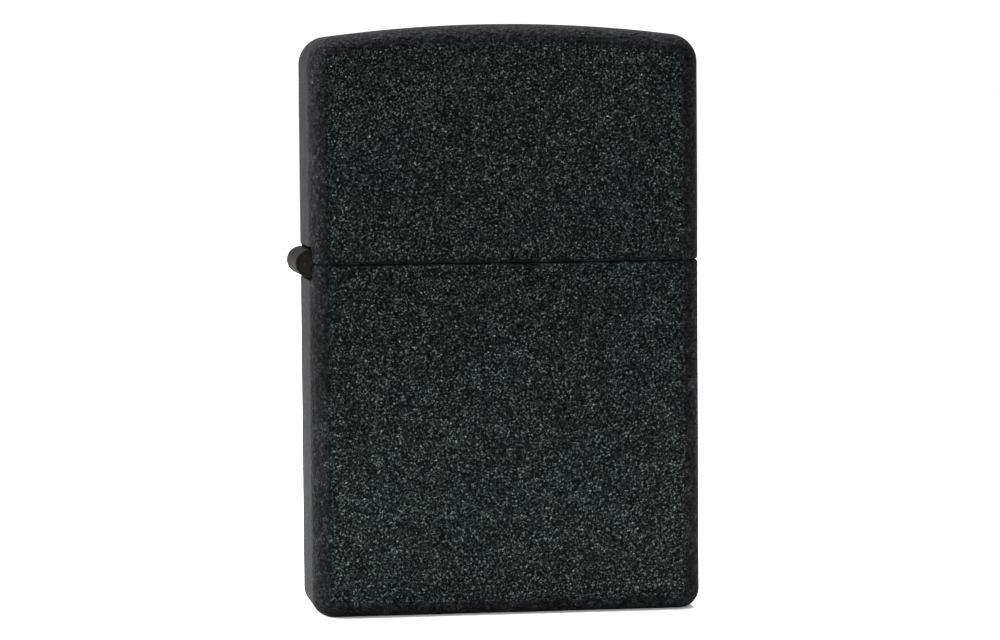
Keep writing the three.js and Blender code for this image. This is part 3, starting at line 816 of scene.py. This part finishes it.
def make_pad():
    """The felt slab under the packing, fuzzy all over, with a hole for the flint screw."""
    low, high = span("felt_pad")
    cx, hx, hy = (low.x + high.x) / 2, (high.x - low.x) / 2, high.y
    corner, roll = 0.85, 0.35
    edge = quarter(roll, 4)

    def band(inset, z):
        """A ring round the pad, moved in by inset."""
        return ring(hx - inset, hy - inset, corner - inset, lambda x: z, cx)

    inner = [roll + 0.6 * k for k in range(1, 7)]  # insets of the rings that carry the fuzz inwards
    rings = [band(i, low.z) for i in reversed(inner)]
    rings += [band(i, low.z + d) for i, d in reversed(edge)]
    rings += [band(0, low.z + (high.z - low.z) * k / 4) for k in (1, 2, 3)]
    rings += [band(i, high.z - d) for i, d in edge]
    rings += [band(i, high.z) for i in inner]
    verts, faces = loft(rings)
    middle = Vector((cx, 0, (low.z + high.z) / 2))
    fuzzy = []
    for v in verts:
        p = Vector(v)
        inward = 0.09 * (0.5 + 0.5 * noise.fractal(p * 1.6, 0.8, 2.1, 5))
        fuzzy.append(tuple(p - (p - middle).normalized() * inward))
    pad = finish_mesh("felt_slab", fuzzy, faces, [FELT], "case", ("felt_pad",))
    screw_low, screw_high = span("flint_screw")
    hole, reach = (screw_high.x - screw_low.x) / 2 + 0.2, 3
    profile = [(0, -reach), (hole, -reach), (hole, reach), (0, reach)]
    verts, faces = lathe(profile, ((screw_low.x + screw_high.x) / 2, 0, middle.z), "Z")
    carve(pad, finish_mesh("hole", verts, faces, [FELT], None, ()))


def make_spring():
    """The flint tube's coil spring, with closed end turns."""
    low, high = span("flint_spring")
    cx, wire, turns, steps = (low.x + high.x) / 2, 0.2, 15, 22
    middle = (high.x - low.x) / 2 - wire
    bottom, top = low.z + wire, high.z - wire
    closed = 2.05 * wire  # pitch of the first and last turns
    open_turns = turns - 2
    open_pitch = (top - bottom - 2 * closed) / open_turns
    centres, frames = [], []
    for i in range(turns * steps + 1):
        turn = i / steps
        out = (math.cos(TAU * turn), math.sin(TAU * turn), 0)
        ends = min(turn, 1) + max(turn - open_turns - 1, 0)
        z = bottom + closed * ends + open_pitch * min(max(turn - 1, 0), open_turns)
        centres.append((cx + middle * out[0], middle * out[1], z))
        frames.append((out, (0, 0, 1)))
    verts, faces = tube(centres, frames, wire, 8)
    replaced = ("flint_spring",)
    spring = finish_mesh("coil_spring", verts, faces, [HARD_STEEL], "screw_lift", replaced)
    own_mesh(spring)


make_wick()
make_spring()
for index in range(1, 7):
    make_ball(index)
make_pad()

# CAD nodes that keep their own shapes

KEPT = {  # each node's material and how far its edges are rounded
    "fuel_chamber": (STEEL_FLAT, 0.06),
    "chimney": (STEEL, 0.06),
    "cam": (HARD_STEEL, 0.1),
    "cam_rivet": (STEEL, 0.06),
    "cam_spring": (HARD_STEEL, 0.05),
    "cam_spring_rivet": (STEEL, 0.04),
    "wheel_rivet": (STEEL, 0.06),
    "flint": (FERRO, 0.05),
    "flint_tube": (BRASS, 0.05),
    "spring_tip": (BRASS, 0.04),
    "flint_screw": (BRASS, 0.04),
}


def smoothing():
    """A modifier's node tree that shades a mesh smooth, but for its sharp edges."""
    group = bpy.data.node_groups.new("smooth_by_angle", "GeometryNodeTree")
    group.interface.new_socket("Geometry", in_out="INPUT", socket_type="NodeSocketGeometry")
    group.interface.new_socket("Geometry", in_out="OUTPUT", socket_type="NodeSocketGeometry")
    start, end = group.nodes.new("NodeGroupInput"), group.nodes.new("NodeGroupOutput")
    whole, edges = (group.nodes.new("GeometryNodeSetShadeSmooth") for _ in range(2))
    whole.domain, edges.domain = "FACE", "EDGE"
    angle = group.nodes.new("GeometryNodeInputMeshEdgeAngle")
    below = group.nodes.new("FunctionNodeCompare")
    below.operation = "LESS_THAN"
    below.inputs[1].default_value = math.radians(32)
    group.links.new(angle.outputs["Unsigned Angle"], below.inputs[0])
    group.links.new(start.outputs[0], whole.inputs["Geometry"])
    group.links.new(whole.outputs["Geometry"], edges.inputs["Geometry"])
    group.links.new(below.outputs[0], edges.inputs["Shade Smooth"])
    group.links.new(edges.outputs["Geometry"], end.inputs[0])
    return group


SMOOTHING = smoothing()
for node, (material, edge) in KEPT.items():
    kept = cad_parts[node]
    for s in kept.material_slots:
        s.material = material
    kept.modifiers.new("weld", "WELD").merge_threshold = 0.0005 * MM
    bevel = kept.modifiers.new("edges", "BEVEL")
    bevel.width, bevel.segments = edge * MM, 2
    bevel.limit_method, bevel.angle_limit = "ANGLE", math.radians(45)
    kept.modifiers.new("smooth", "NODES").node_group = SMOOTHING
    kept.modifiers.new("even", "WEIGHTED_NORMAL").keep_sharp = True


# Floor, light and camera

QUAD = ((-1, -1), (1, -1), (1, 1), (-1, 1))


def make_stage():
    """A wide pale floor."""
    s = Shader("pale_floor", Specular_IOR_Level=0.1)
    cloud = s.noise(60, detail=3)
    colour = s.ramp(cloud, [(0.3, (0.86, 0.86, 0.85)), (0.7, (0.9, 0.9, 0.89))])
    s.set(Base_Color=colour, Roughness=s.spread(cloud, 0.8, 0.95))
    mesh = bpy.data.meshes.new("floor")
    reach = 60.0
    corners = [(x * reach, y * reach, 0) for x, y in QUAD]
    mesh.from_pydata(corners, [], [(0, 1, 2, 3)])
    mesh.materials.append(s.material)
    floor = bpy.data.objects.new("floor", mesh)
    bpy.context.scene.collection.objects.link(floor)


def make_flag(name, centre, width, height):
    """A dark card that keeps light off one side. The camera doesn't see it."""
    s = Shader(name + "_card", Specular_IOR_Level=0.0)
    grain = s.noise(20, detail=2)
    s.set(Base_Color=s.ramp(grain, [(0.3, 0.02), (0.7, 0.03)]), Roughness=s.spread(grain, 0.9, 1.0))
    facing = (Vector((0, 0, centre[2])) - Vector(centre)).normalized()
    side = facing.cross(Vector((0, 0, 1))).normalized()
    across, rise = side * (width / 2), Vector((0, 0, height / 2))
    corners = [Vector(centre) + across * sx + rise * sz for sx, sz in QUAD]
    mesh = bpy.data.meshes.new(name)
    mesh.from_pydata(corners, [], [(0, 1, 2, 3)])
    mesh.materials.append(s.material)
    card = bpy.data.objects.new(name, mesh)
    bpy.context.scene.collection.objects.link(card)
    card.visible_camera = False


def make_light(name, place, target, size, power, spread=180):
    """A soft rectangular light at place, aimed at target. The camera doesn't see it."""
    data = bpy.data.lights.new(name, "AREA")
    data.shape = "RECTANGLE"
    data.size, data.size_y = size
    data.energy = power
    data.spread = math.radians(spread)
    light = bpy.data.objects.new(name, data)
    light.location = place
    light.rotation_mode = "QUATERNION"
    light.rotation_quaternion = (Vector(target) - Vector(place)).to_track_quat("-Z", "Y")
    light.visible_camera = False
    bpy.context.scene.collection.objects.link(light)


def make_world():
    """An even white surround."""
    world = bpy.data.worlds.new("studio")
    bpy.context.scene.world = world
    world.use_nodes = True
    back = world.node_tree.nodes["Background"]
    back.inputs["Color"].default_value = (1.0, 1.0, 1.0, 1)
    back.inputs["Strength"].default_value = 1.15


def make_camera():
    """The photo's viewing angle: from a little left of the front and a little above."""
    yaw, elevation, roll = (math.radians(a) for a in (8.441, 3.537, 0.442))
    pan, tilt = math.radians(-0.02), math.radians(-0.051)
    distance, aim_height, lens = 0.3771, 0.028575, 138.39
    level = math.cos(elevation)
    back = Vector((-math.sin(yaw) * level, -math.cos(yaw) * level, math.sin(elevation)))
    forward = -back
    right = forward.cross(Vector((0, 0, 1))).normalized()
    up = right.cross(forward)
    for angle, axis in ((pan, up.copy()), (tilt, right.copy()), (roll, forward.copy())):
        turn = Matrix.Rotation(angle, 3, axis)
        forward, right, up = turn @ forward, turn @ right, turn @ up
    data = bpy.data.cameras.new("camera")
    data.lens = lens
    data.sensor_width = 36
    data.clip_start, data.clip_end = 0.01, 20
    camera = bpy.data.objects.new("camera", data)
    rotation = Matrix((right, up, -forward)).transposed()
    place = Vector((CENTRE, 0, aim_height)) + back * distance
    camera.matrix_world = Matrix.Translation(place) @ rotation.to_4x4()
    bpy.context.scene.collection.objects.link(camera)
    bpy.context.scene.camera = camera


make_stage()
make_world()
make_flag("flag_front", (0.05, -0.62, 0.3), 1.3, 1.0)
make_flag("flag_right", (0.5, -0.1, 0.3), 1.1, 1.0)
make_light("softbox_left", (-0.55, 0.14, 0.16), (0, 0, 0.03), (0.4, 0.45), 12.5)
make_light("softbox_top", (0.0, 0.16, 0.6), (0, 0, 0.03), (0.55, 0.55), 19)
make_light("softbox_front", (-0.03, -0.58, 0.12), (0, 0, 0.03), (0.3, 0.3), 1.8)
make_light("low_front", (-0.01, -0.07, 0.012), (0, 0, 0.006), (0.12, 0.01), 0.0125, spread=40)
make_camera()
bpy.context.scene.view_settings.view_transform = "Standard"

bpy.context.view_layer.update()
